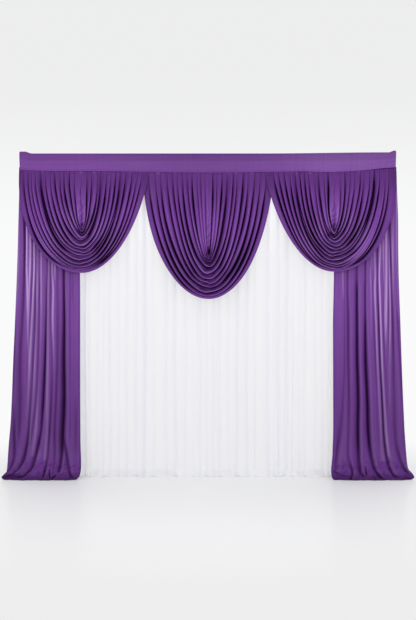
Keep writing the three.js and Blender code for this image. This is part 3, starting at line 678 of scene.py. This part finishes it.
leftSide = dict(
    name="sideCurtainLeft", seed=21,
    edges=[
        (2452, -1506, -1024), (2100, -1515, -1024), (1816, -1522, -1024), (1496, -1532, -1022),
        (1256, -1542, -1021), (936, -1555, -1020), (616, -1564, -1018), (456, -1570, -1016),
        (264, -1582, -1012), (120, -1586, -1004), (60, -1586, -1002), (42, -1602, -1004),
        (22, -1620, -1012), (8, -1612, -1028), (2, -1600, -1034)],
    creases=[  # how much broader the left flank is, then the line
        (1.0, [(1900, -1143, 6, 10), (1656, -1149, 6, 16), (1496, -1149, 6, 18), (1256, -1147, 8, 24),
         (936, -1150, 11, 34), (616, -1147, 13, 36), (376, -1154, 14, 36), (290, -1156, 13, 30),
         (183, -1159, 9, 24), (73, -1167, 7, 24), (40, -1174, 6, 0)]),
        (0.2, [(340, -1142, 10, 0), (250, -1135, 11, 14), (183, -1121, 11, 17), (110, -1106, 10, 17),
         (73, -1092, 9, 16), (40, -1078, 8, 18), (22, -1064, 8, 12), (5, -1050, 8, 0)]),
        (0.3, [(1816, -1279, 6, 10), (1656, -1281, 6, 9), (1496, -1288, 7, 10), (1256, -1293, 7, 13),
         (936, -1300, 8, 20), (616, -1312, 9, 20), (376, -1326, 8, 14), (290, -1341, 9, 18),
         (183, -1362, 9, 20), (110, -1380, 9, 25), (73, -1395, 9, 28), (36, -1438, 8, 24),
         (20, -1496, 8, 16), (8, -1590, 8, 6)]),
        (0.3, [(1816, -1369, 6, 8), (1496, -1377, 7, 9), (1256, -1379, 7, 10), (936, -1393, 8, 8),
         (616, -1409, 9, 8), (376, -1423, 9, 13), (270, -1434, 10, 18), (183, -1450, 10, 24),
         (125, -1466, 10, 26), (73, -1498, 9, 24), (46, -1530, 8, 14), (24, -1586, 8, 8)]),
        (0.5, [(1816, -1463, 6, 16), (1656, -1468, 7, 13), (1496, -1472, 8, 12), (1256, -1484, 10, 10),
         (936, -1500, 14, 10), (616, -1498, 16, 9), (376, -1503, 13, 10), (290, -1508, 12, 5),
         (200, -1515, 12, 0)]),
        (0.0, [(616, -1543, 14, 0), (376, -1541, 11, 11), (183, -1535, 11, 14), (110, -1548, 10, 15),
         (73, -1562, 9, 14), (50, -1585, 9, 10), (30, -1600, 9, 0)]),
        (0.0, [(1816, -1257, 6, 8), (1496, -1257, 7, 8), (1256, -1257, 8, 5), (936, -1242, 9, 6),
         (616, -1249, 9, 9), (376, -1260, 9, 12), (183, -1270, 8, 10), (90, -1277, 8, 17),
         (45, -1284, 7, 26), (20, -1294, 7, 8)]),
        (0.0, [(1816, -1201, 6, 6), (1496, -1201, 8, 6), (1256, -1199, 9, 7), (936, -1201, 9, 8),
         (616, -1211, 10, 9), (376, -1220, 10, 10), (183, -1213, 10, 8), (90, -1216, 9, 6),
         (40, -1226, 8, 0)]),
        (0.0, [(1656, -1345, 6, 6), (1496, -1345, 6, 9), (1256, -1347, 7, 8), (936, -1353, 7, 6),
         (616, -1368, 8, 8), (376, -1397, 8, 7), (250, -1412, 8, 3), (183, -1425, 8, 0)]),
        (0.0, [(1816, -1401, 5, 8), (1656, -1401, 5, 8), (1496, -1408, 5, 8), (1256, -1419, 5, 6),
         (936, -1441, 8, 2), (616, -1455, 8, 0)]),
        (0.0, [(1816, -1097, 6, 4), (1496, -1098, 6, 5), (1256, -1105, 6, 5), (936, -1105, 7, 4),
         (616, -1103, 8, 3), (376, -1100, 9, 4), (200, -1100, 9, 0)]),
        (0.0, [(1600, -1081, 4, 4), (1480, -1081, 4, 5), (1330, -1081, 4, 0)]),
        (0.0, [(700, -1051, 16, 0), (376, -1052, 16, 7), (183, -1050, 14, 4), (90, -1048, 14, 0)]),
        (0.0, [(84, -1246, 5, 0), (60, -1243, 5, 16), (30, -1238, 6, 18), (10, -1236, 6, 8)]),
        (0.0, [(48, -1186, 6, 0), (30, -1203, 6, 18), (12, -1217, 7, 26), (3, -1222, 7, 8)]),
        (0.0, [(52, -1480, 8, 0), (42, -1496, 8, 12), (32, -1540, 8, 14), (22, -1590, 8, 10),
         (14, -1610, 8, 0)]),
        (0.0, [(1400, -1530, 5, 0), (1256, -1534, 5, 6), (936, -1546, 5, 8), (696, -1554, 5, 6),
         (560, -1558, 5, 0)])],
    thinLines=[
        [(1816, -1446, 6, 0.9), (1656, -1446, 6, 0.95), (1496, -1442, 6, 0.85), (1256, -1438, 6, 0.55),
         (936, -1430, 6, 0.2), (800, -1428, 6, 0)],
        [(1816, -1418, 7, 0.65), (1656, -1422, 7, 0.9), (1496, -1428, 6, 0.8), (1300, -1431, 6, 0.25),
         (1200, -1432, 6, 0)],
        [(1816, -1390, 7, 0.7), (1656, -1390, 7, 0.9), (1496, -1396, 7, 0.9), (1256, -1406, 7, 0.72),
         (936, -1420, 7, 0.6), (616, -1432, 7, 0.3), (376, -1444, 7, 0.06), (300, -1450, 7, 0)],
        [(1816, -1366, 6, 0.3), (1656, -1366, 6, 0.55), (1496, -1366, 6, 0.65), (1256, -1370, 6, 0.42),
         (936, -1379, 6, 0.48), (616, -1395, 7, 0.3), (376, -1414, 7, 0.35), (240, -1428, 8, 0.2),
         (190, -1434, 8, 0)],
        [(1816, -1332, 6, 0.4), (1656, -1334, 6, 0.62), (1496, -1332, 6, 0.5), (1256, -1334, 6, 0.25),
         (936, -1342, 6, 0.14), (616, -1356, 7, 0.36), (376, -1368, 8, 0.42), (183, -1389, 8, 0.3),
         (165, -1391, 8, 0)],
        [(1816, -1274, 7, 0.3), (1656, -1275, 7, 0.42), (1256, -1278, 7, 0.32), (616, -1278, 8, 0.36),
         (376, -1279, 8, 0.34), (183, -1287, 8, 0.36), (150, -1289, 8, 0.3), (134, -1290, 8, 0)],
        [(1816, -1240, 6, 0.5), (1656, -1245, 6, 0.55), (1496, -1236, 7, 0.65), (1256, -1239, 7, 0.6),
         (936, -1231, 7, 0.26), (700, -1230, 7, 0)],
        [(1750, -1222, 5, 0.45), (1656, -1222, 5, 0.45), (1540, -1222, 5, 0)],
        [(250, -1334, 9, 0), (183, -1335, 9, 0.22), (150, -1338, 9, 0.18), (138, -1339, 9, 0)],
        [(1816, -1514, 6, 0.36), (1496, -1524, 6, 0.3), (1256, -1533, 6, 0.12), (1000, -1545, 6, 0)]])
rightSide = dict(
    name="sideCurtainRight", seed=34,
    edges=[
        (2452, 1010, 1508), (2250, 1010, 1517), (2060, 1010, 1524), (1816, 1010, 1525),
        (1616, 1010, 1528), (1496, 1008, 1532), (1256, 1002, 1540), (936, 1002, 1549),
        (616, 1001, 1559), (376, 999, 1567), (183, 990, 1576), (110, 981, 1580), (73, 974, 1586),
        (50, 972, 1606), (28, 974, 1622), (14, 980, 1622), (4, 988, 1606), (2, 994, 1600)],
    creases=[
        (0.3, [(1816, 1115, 6, 8), (1616, 1119, 6, 9), (1496, 1119, 6, 9), (1256, 1123, 7, 12),
         (936, 1123, 8, 11), (616, 1127, 8, 8), (376, 1122, 8, 7), (183, 1115, 8, 8),
         (110, 1125, 8, 14), (73, 1134, 8, 20), (45, 1134, 8, 16), (20, 1122, 8, 10), (5, 1118, 8, 0)]),
        (0.0, [(1496, 1097, 6, 2), (1256, 1095, 7, 4), (936, 1095, 8, 5), (616, 1081, 10, 6),
         (376, 1056, 13, 8), (183, 1024, 13, 11), (73, 1008, 11, 9), (40, 1000, 10, 0)]),
        (1.4, [(1816, 1193, 5, 10), (1616, 1193, 5, 10), (1496, 1195, 6, 18), (1256, 1196, 6, 24),
         (936, 1198, 7, 32), (616, 1204, 8, 28), (376, 1199, 8, 30), (183, 1199, 8, 22),
         (110, 1200, 8, 24), (73, 1201, 8, 28), (45, 1202, 7, 12), (28, 1202, 7, 0)]),
        (0.6, [(1816, 1259, 5, 10), (1616, 1261, 5, 9), (1496, 1259, 5, 12), (1256, 1260, 6, 16),
         (936, 1265, 9, 36), (616, 1277, 9, 38), (376, 1280, 10, 34), (260, 1286, 10, 28),
         (183, 1294, 10, 22), (125, 1304, 9, 22), (73, 1314, 9, 24), (40, 1340, 9, 24),
         (20, 1360, 9, 24), (6, 1384, 8, 0)]),
        (0.0, [(1816, 1355, 5, 10), (1496, 1360, 5, 10), (1256, 1367, 5, 16), (936, 1375, 6, 15),
         (616, 1391, 6, 16), (376, 1398, 7, 16), (270, 1404, 8, 16), (183, 1416, 9, 18),
         (110, 1426, 9, 24), (73, 1437, 9, 28), (40, 1454, 9, 24), (22, 1484, 9, 14), (10, 1520, 8, 0)]),
        (0.3, [(2016, 1453, 5, 16), (1816, 1459, 5, 13), (1616, 1468, 5, 10), (1496, 1472, 6, 9),
         (1256, 1479, 7, 11), (936, 1485, 8, 9), (616, 1488, 12, 7), (376, 1492, 13, 8),
         (260, 1500, 12, 9), (183, 1517, 10, 13), (110, 1536, 9, 15), (73, 1554, 9, 22),
         (46, 1574, 8, 12), (30, 1594, 8, 0)]),
        (0.0, [(1700, 1447, 4, 5), (1496, 1447, 4, 6), (1256, 1447, 5, 7), (1000, 1445, 7, 3),
         (800, 1445, 8, 0)]),
        (0.0, [(1816, 1399, 5, 4), (1496, 1407, 5, 4), (1256, 1404, 5, 6), (936, 1417, 8, 4),
         (616, 1435, 10, 3), (376, 1440, 10, 0)]),
        (0.0, [(1816, 1295, 6, 6), (1496, 1321, 6, 4), (1256, 1327, 6, 6), (936, 1340, 6, 7),
         (616, 1353, 8, 4), (376, 1358, 8, 3), (200, 1370, 8, 0)]),
        (0.0, [(94, 1249, 5, 0), (73, 1246, 5, 18), (40, 1244, 6, 16), (20, 1240, 6, 0)]),
        (0.0, [(54, 1217, 7, 0), (37, 1217, 7, 24), (22, 1218, 7, 8), (12, 1218, 7, 0)]),
        (0.0, [(42, 1289, 6, 0), (28, 1296, 6, 14), (10, 1316, 6, 12), (3, 1322, 6, 0)]),
        (0.0, [(70, 983, 8, 0), (60, 992, 8, 9), (50, 1016, 8, 12), (42, 1057, 8, 0)]),
        (0.0, [(44, 1022, 8, 0), (37, 1040, 8, 9), (29, 1080, 8, 11), (22, 1112, 8, 0)]),
        (0.0, [(30, 1126, 6, 0), (15, 1124, 6, 22), (6, 1123, 6, 12), (2, 1122, 6, 0)]),
        (0.0, [(26, 1552, 8, 0), (14, 1576, 8, 18), (5, 1590, 8, 8), (2, 1596, 8, 0)]),
        (0.0, [(1400, 1513, 5, 0), (1256, 1518, 5, 6), (936, 1534, 5, 8), (696, 1545, 5, 6),
         (560, 1549, 5, 0)])],
    thinLines=[
        [(1816, 1334, 6, 0.36), (1616, 1339, 6, 0.5), (1496, 1335, 6, 0.58), (1256, 1343, 6, 0.48),
         (936, 1354, 6, 0.54), (616, 1366, 6, 0.42), (376, 1379, 7, 0.4), (250, 1384, 9, 0.3),
         (183, 1386, 11, 0.3), (140, 1390, 13, 0.26), (126, 1391, 13, 0)],
        [(1816, 1378, 6, 0.55), (1616, 1371, 5, 0.9), (1496, 1374, 6, 0.9), (1256, 1381, 6, 0.85),
         (936, 1391, 6, 0.72), (616, 1406, 6, 0.58), (376, 1418, 7, 0.52), (183, 1433, 7, 0.45),
         (150, 1437, 7, 0)],
        [(1816, 1427, 8, 0.62), (1496, 1427, 8, 0.7), (1256, 1425, 8, 0.52), (1050, 1424, 8, 0.1),
         (936, 1424, 8, 0)],
        [(1700, 1450, 5, 0.5), (1496, 1455, 5, 0.6), (1256, 1457, 5, 0.72), (936, 1451, 6, 0.25),
         (616, 1450, 7, 0.12), (450, 1450, 7, 0)],
        [(1816, 1402, 5, 0.6), (1616, 1406, 5, 0.35), (1496, 1410, 5, 0.25), (1256, 1416, 6, 0.36),
         (1050, 1418, 6, 0)],
        [(2050, 1478, 7, 0.1), (1816, 1478, 7, 0.4), (1616, 1480, 7, 0.3), (1450, 1481, 7, 0.12),
         (1256, 1484, 7, 0)],
        [(1816, 1304, 6, 0.25), (1616, 1302, 6, 0.36), (1496, 1304, 6, 0.25), (1256, 1306, 6, 0.12),
         (1000, 1306, 6, 0)],
        [(1700, 1078, 5, 0.25), (1616, 1078, 5, 0.36), (1496, 1080, 5, 0.25), (1400, 1080, 5, 0)],
        [(1816, 1510, 5, 0.36), (1496, 1519, 5, 0.18), (1256, 1526, 5, 0)]])


# the columns of a listed line, read at each height as soft curves from row to row
def alongLine(names, rows, height):
    table = readTable(names, rows)
    step = np.interp(-height, -table["height"], np.arange(len(rows)))
    return [curveThrough(table[name], step) for name in names.split()[1:]]


# a side curtain falls along a soft curve to the floor and rolls under at the foot; it stands out
# square to the fall by an even amount with broad waves, less power / (1 + (distance / width)^2)
# for every crease, which also darkens it as painted shade, and the streaks of painted light through the
# thin cloth are exp(-(distance / width)^2), softer low down
def makeSide(values):
    form = SimpleNamespace(**sideForm)
    curtain = SimpleNamespace(**values)
    path = readTable("height back share", form.fall)
    stretch = np.sqrt(np.hypot(np.diff(path["height"]), np.diff(path["back"])))
    reached = np.concatenate([[0], stretch.cumsum()])
    down = np.linspace(0, 1, form.rows + 1)
    step = np.interp(down * reached[-1], reached, np.arange(len(reached)))
    height, back, folded = [curveThrough(column, step)[:, None] for column in path.values()]
    dBack, dHeight = np.gradient(back, axis=0), np.gradient(height, axis=0)
    run = np.sqrt(dBack ** 2 + dHeight ** 2)
    place = np.linspace(0, 1, form.columns + 1)[None, :]
    left, right = alongLine(edgeNames, curtain.edges, height)
    x = mix(left, right, place)

    # broad and fine waves, creases with a painted highlight on their right, edges that roll back, a
    # crumpled foot
    slow = np.sin(height / 430 + curtain.seed)
    out = form.stand + form.wave * (np.sin(x / 29 + slow) + 0.6 * np.sin(x / 15.5 - 1.3 * slow))
    fine = form.fine * np.sin(x / 2.6 + 2 * np.sin(x / 23) + slow)
    out = out + fine * ramp(height, *form.fineHeights)
    # painted shade builds up in each crease
    shade, rim = 0, 0
    for broader, rows in curtain.creases:
        middle, width, power = alongLine(lineNames, rows, height)
        dark = clamp(power / form.darkest)
        rim = rim + dark * hump((x - middle) / width / form.rimWide - form.rimAt, 1)
        slant = np.gradient(middle, axis=0) / run
        width = width * np.where(x < middle, 1 + broader, 1)
        trough = 1 / (1 + ((x - middle) / width) ** 2 / (1 + slant ** 2))
        out = out - power * trough
        shade = layered(shade, dark * trough ** form.shadePower)
    for edge in (left, right):
        out = out - form.edgeRoll * hump(x - edge, form.edgeWidth)
    nearFloor = ramp(height, 12, 50) * fade(height, 60, 200)
    chance = np.random.default_rng(curtain.seed)
    crumples = crumple(chance, x, height * 1.4, form.crumplePitch) * nearFloor
    out = (out + form.crumple * crumples) * folded
    dimmer = ramp(height, *form.floorHeights) * fade(height, *form.footHeights)
    shade = shade * mix(1, form.footShade, dimmer)
    # painted shade in the crumpled hollows at the foot
    shade = layered(shade, form.crumpleShade * clamp(-crumples - 0.2))

    # the foot is pushed out to the front unevenly, less at its ends
    ends = 1 - 0.2 * np.abs(2 * place - 1) ** 3
    uneven = 1 + 0.04 * np.sin(place * 21 + curtain.seed) + 0.03 * np.sin(place * 53)
    pushed = mix(1, ends * uneven, fade(height, *form.pushHeights))
    foot = form.pushFrom + (back - form.pushFrom) * pushed
    y = np.where(back < form.pushFrom, foot, back) + out * dHeight / run
    topEdge = seamHeight(x) + form.seamLift
    z = np.maximum(floorLevel + height - out * dBack / run, floorLevel + 1)
    z = z + (topEdge - z[:1]) * ramp(height, *form.topHeights)

    # painted light: streaks of light shining through the thin cloth, and the painted highlight beside each
    # crease
    thin = 0
    softer = 1 + form.softLow * fade(height, *form.softHeights)
    for rows in curtain.thinLines:
        middle, width, power = alongLine(lineNames, rows, height)
        thin = thin + power / softer * hump((x - middle) / width, softer)
    thin = thin + form.rimLight * rim
    # painted shade: the roll at the foot, and darker towards the floor
    roll = form.rollShade * fade(height, *form.rollHeights)
    dim = form.dimLow * fade(height, *form.dimHeights)
    marks = {"deep": clamp(layered(shade, roll, dim)), "thin": clamp(thin)}
    return makeSheet(curtain.name, together(x, y, z), marks, purpleKnit, form.cloth)


white = dict(
    valleys=[  # place and strength of each valley between the side curtains
        (-991, 0.9), (-955, 0.35), (-886, 0.3), (-834, 0.28), (-787, 0.5), (-719, 0.42), (-649, 0.6),
        (-572, 0.6), (-508, 1), (-435, 0.35), (-330, 0.6), (-259, 0.72), (-177, 0.38), (-113, 0.2),
        (-59, 0.72), (-6, 0.42), (55, 0.55), (97, 0.58), (176, 0.33), (242, 0.78), (319, 0.76),
        (383, 0.25), (487, 0.76), (535, 0.27), (572, 0.8), (611, 0.25), (641, 0.87), (685, 0.28),
        (740, 0.32), (785, 0.52), (870, 0.3), (933, 0.45), (975, 0.25)],
    edge=1490, hidden=5, hiddenStrength=0.5, stepsPerPleat=8, bunched=0.6, rows=92,
    hemRows=14, hemShare=0.03, cloth=1.3, seed=55, topLift=7, valleyWidth=9,
    softSide=2.4, depthSwing=0.25, stepBack=3.8, stepEnds=(930, 1000), sway=5,
    swayFrom=0.2, hemReach=64, leastReach=0.3, reachSpread=(0.5, 1.2), hemHeight=80,
    hemShade=0.2,
    fall=[  # share of the fall, place to the back, depth of the pleats
        (0, -5.7, 1.5), (0.06, 34, 7), (0.2, 54, 12), (0.65, 56, 13), (1, 58, 14)])


# the white curtain falls from behind the band to the floor, and stands forward by a depth less
# strength / (1 + (distance / width)^2) for the valleys beside each point, softer on the left of a
# valley; all waver slowly down the fall, and the hem runs out on the floor in a scallop for each
# pair of pleats
def makeWhite():
    form = SimpleNamespace(**white)
    valleys = readTable("x strength", form.valleys)
    leftHidden = np.linspace(-form.edge, valleys["x"][0], form.hidden + 1)[:-1]
    rightHidden = np.linspace(valleys["x"][-1], form.edge, form.hidden + 1)[1:]
    edges = np.concatenate([leftHidden, valleys["x"], rightHidden])
    hidden = np.full(form.hidden, form.hiddenStrength)
    strong = np.concatenate([hidden, valleys["strength"], hidden])
    count = len(edges) - 1
    path = readTable("share back pleat", form.fall)
    hemStart = 1 - form.hemShare
    down = np.concatenate([np.linspace(0, hemStart, form.rows + 1)[:-1],
                           np.linspace(hemStart, 1, form.hemRows + 1)])
    even = np.linspace(0, count, count * form.stepsPerPleat + 1)[None, :]
    nearest = np.clip(np.floor(even).astype(int), 0, count - 1)[0]
    within = bunch(even - nearest, form.bunched)
    place = nearest + within
    chance = np.random.default_rng(form.seed)
    step = np.interp(down, path["share"], np.arange(len(path["share"])))
    back, pleat = [curveThrough(path[name], step)[:, None] for name in ("back", "pleat")]
    swayWave = waver(chance, count + 1, down)
    swayWave = mix(swayWave[:, nearest], swayWave[:, nearest + 1], within)
    inner = ramp(place, 0, 1) * fade(place, count - 1, count)
    straight = linesThrough(edges, place)
    x = straight + form.sway * swayWave * inner * ramp(down, 0, form.swayFrom)[:, None]
    z = mix(seamHeight(straight) + form.topLift, floorLevel + 1, down[:, None])
    wide = np.diff(edges)[nearest]
    before = strong[nearest] / (1 + (wide * within / form.valleyWidth) ** 2)
    after = strong[nearest + 1] / (1 + (wide * (1 - within) / form.valleyWidth / form.softSide) ** 2)
    valley = np.maximum(before, after)
    depthWaves = [waver(chance, count + 1, down)[:, end] for end in (nearest, nearest + 1)]
    depth = pleat * (1 + form.depthSwing * mix(*depthWaves, within))
    stepped = form.stepBack * ramp(np.abs(x), *form.stepEnds)
    nearFloor = fade(z, floorLevel, floorLevel + form.hemHeight)
    pair = place - 2 * np.floor(place / 2)
    bulge = np.sin(np.pi * pair / 2)
    reach = mix(form.leastReach, chance.uniform(*form.reachSpread, count)[nearest // 2], bulge)
    scallop = form.hemReach * reach * fade(np.abs(x), *form.stepEnds)
    y = back + stepped - depth * (1 - valley) - scallop * nearFloor ** 2
    # painted shade: darker along the pleat valleys and in the gaps between the scallops at the hem
    gaps = form.hemShade * nearFloor * (1 - bulge) ** 6
    marks = {"deep": np.maximum(valley ** 1.2, gaps), "thin": 0.0 * z}
    return makeSheet("backCurtain", together(x, y, z), marks, whiteKnit, form.cloth)


pieces = [
    (makeBand(), "heading_band", "purple_cloth", dict(flat=(3.0, 0.36), held="hung")),
    (makeSwag(leftSwag), "swag_left", "purple_cloth",
     dict(flat=(1.55, 1.05), area=1.3, held="gathered", rests_on=["heading_band"])),
    (makeSwag(centerSwag), "swag_center", "purple_cloth",
     dict(flat=(1.7, 1.25), area=1.65, held="gathered", rests_on=["heading_band"])),
    (makeSwag(rightSwag), "swag_right", "purple_cloth",
     dict(flat=(1.55, 1.05), area=1.3, held="gathered", rests_on=["heading_band"])),
    (makeSide(leftSide), "side_curtain_left", "purple_cloth",
     dict(flat=(0.7, 2.72), held="hung", rests_on=["heading_band"])),
    (makeSide(rightSide), "side_curtain_right", "purple_cloth",
     dict(flat=(0.7, 2.72), held="hung", rests_on=["heading_band"])),
    (makeWhite(), "back_curtain", "white_cloth",
     dict(flat=(3.75, 2.6), held="hung", rests_on=["heading_band"]))]
for piece, node, slot, cut in pieces:
    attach(piece, "root")
    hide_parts(node)
print("pieces dressed:", len(pieces))

studio = dict(
    worldLight=0.95, wallHigh=(0.845, 0.847, 0.850, 1), wallLow=(0.955, 0.957, 0.960, 1),
    wallFade=(0.06, 0.27), floorSize=30, floorColour=(0.757, 0.762, 0.767, 1),
    floorRoughness=0.7, floorFront=(0.852, 0.852, 0.855, 1), hazeFrom=(2.6, 3.9),
    hazeBehind=(-2.0, 1.0), mirrorShare=0.08, mirrorRoughness=0.16,
    camera=(0.002, -7.0, -1.224), lens=50.8,
    lights=[  # name, place, aim, width, height, power
        ("leftLight", (-1.8, -7.8, -0.4), (0, 0, -1.2), 3.0, 3.0, 180),
        ("rightLight", (1.8, -7.8, -0.4), (0, 0, -1.2), 3.0, 3.0, 168),
        ("topLight", (0, -4.0, 3.2), (0, 0, -1.0), 5.0, 2.0, 40),
        ("backLight", (0, 0.4, -0.32), (0, 0, -0.32), 2.9, 0.2, 2.3)])

camera = bpy.data.cameras.new("photoCamera")
camera.lens = studio["lens"]
cameraObject = bpy.data.objects.new("photoCamera", camera)
cameraObject.location = studio["camera"]
cameraObject.rotation_euler = (math.pi / 2, 0, 0)
bpy.context.collection.objects.link(cameraObject)
bpy.context.scene.camera = cameraObject

for name, place, aim, width, height, power in studio["lights"]:
    light = bpy.data.lights.new(name, "AREA")
    light.shape = "RECTANGLE"
    light.size, light.size_y, light.energy = width, height, power
    lamp = bpy.data.objects.new(name, light)
    lamp.location = place
    lamp.rotation_euler = (Vector(aim) - Vector(place)).to_track_quat("-Z", "Y").to_euler()
    lamp.visible_camera = False
    bpy.context.collection.objects.link(lamp)

world = bpy.data.worlds.new("studioWorld")
bpy.context.scene.world = world
air = emptyTree(world)
seen = air.node("ShaderNodeLightPath", output="Is Camera Ray")
lit = air.node("ShaderNodeBackground", {}, {"Color": (1, 1, 1, 1), "Strength": studio["worldLight"]})
around = air.node("ShaderNodeTexCoord", output="Generated")
upwards = air.node("ShaderNodeSeparateXYZ", {}, {0: around}, "Z")
wall = upwards.step(*studio["wallFade"]).blend(studio["wallLow"], studio["wallHigh"])
shown = air.node("ShaderNodeBackground", {}, {"Color": wall, "Strength": 1.0})
both = air.node("ShaderNodeMixShader", {}, {0: seen, 1: lit, 2: shown})
air.node("ShaderNodeOutputWorld", {}, {"Surface": both})

half = studio["floorSize"]
corners = [(x * half, y * half, floorLevel * toMetres) for x, y in ((-1, -1), (1, -1), (1, 1), (-1, 1))]
floorMesh = bpy.data.meshes.new("studioFloor")
floorMesh.from_pydata(corners, [], [(0, 1, 2, 3)])
floor = bpy.data.objects.new("studioFloor", floorMesh)
bpy.context.collection.objects.link(floor)
floorLook = bpy.data.materials.new("paleFloor")
ground = emptyTree(floorLook)
spot = ground.node("ShaderNodeTexCoord", output="Object")
far = ground.node("ShaderNodeVectorMath", {"operation": "LENGTH"}, {0: spot}, "Value")
far = far.step(*studio["hazeFrom"])
matt = ground.node("ShaderNodeBsdfPrincipled", {}, {
    "Base Color": studio["floorColour"], "Roughness": studio["floorRoughness"]})
behind = ground.node("ShaderNodeSeparateXYZ", {}, {0: spot}, "Y").step(*studio["hazeBehind"])
haze = ground.node("ShaderNodeEmission", {}, {
    "Color": behind.blend(studio["floorFront"], studio["wallLow"]), "Strength": 1.0})
mirror = ground.node("ShaderNodeBsdfGlossy", {}, {
    "Color": (1, 1, 1, 1), "Roughness": studio["mirrorRoughness"]})
near = ground.node("ShaderNodeMixShader", {}, {0: studio["mirrorShare"], 1: matt, 2: mirror})
surface = ground.node("ShaderNodeMixShader", {}, {0: far, 1: near, 2: haze})
ground.node("ShaderNodeOutputMaterial", {}, {"Surface": surface})
floorMesh.materials.append(floorLook)
bpy.context.scene.view_settings.view_transform = "Standard"
print("camera, light and floor set")
